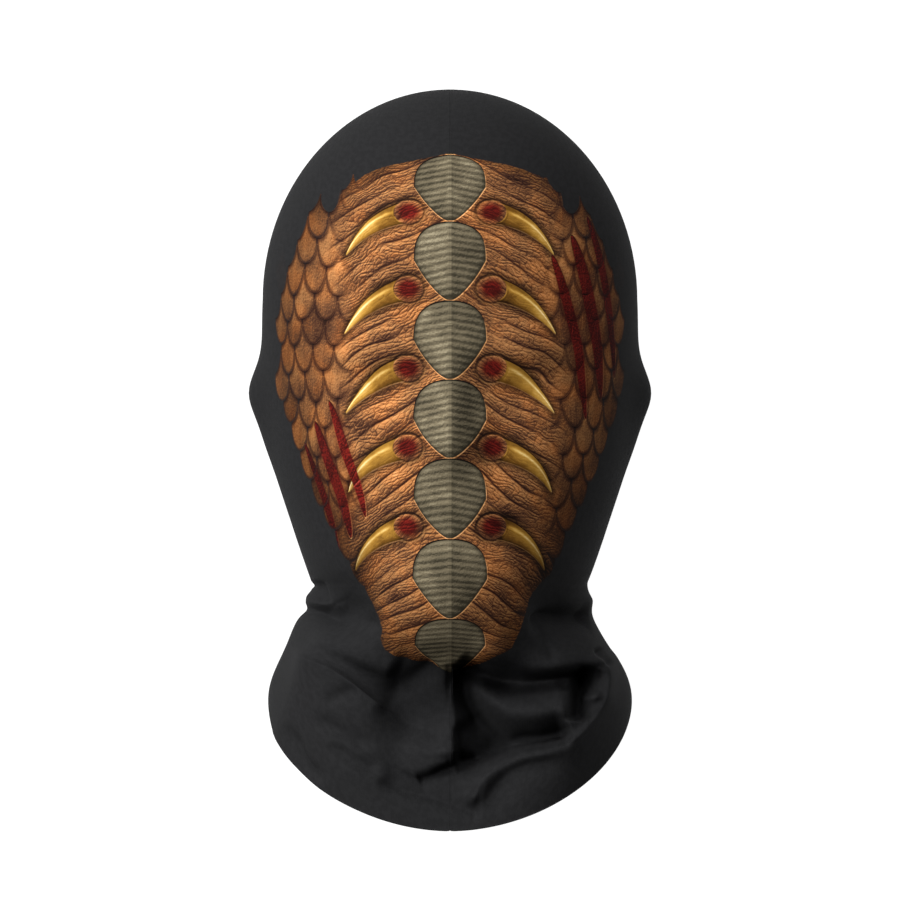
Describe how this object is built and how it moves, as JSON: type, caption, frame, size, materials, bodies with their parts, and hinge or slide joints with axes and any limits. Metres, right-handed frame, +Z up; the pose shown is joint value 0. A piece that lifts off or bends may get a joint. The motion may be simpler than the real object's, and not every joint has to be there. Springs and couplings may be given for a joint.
{
  "type": "monster hood mask",
  "caption": "Full-cover stretch cloth hood with a draped neck gaiter and a printed monster-hide pattern, lying on its back, hollow and open at the collar.",
  "frame": {"origin": "on the floor, under the middle of the hood's box as it lies on its back", "axes": "+X to the viewer's right across the face, +Y from the collar to the crown, +Z up, out of the front of the hood"},
  "size_m": [0.173, 0.3182, 0.2097],
  "materials": {
    "left_cloth": "matte printed stretch knit, black ground with a tan and brown hide print",
    "right_cloth": "matte printed stretch knit, black ground with a tan and brown hide print"
  },
  "bodies": {
    "root": {"left_panel": "left_cloth", "right_panel": "right_cloth"}
  },
  "joints": []
}
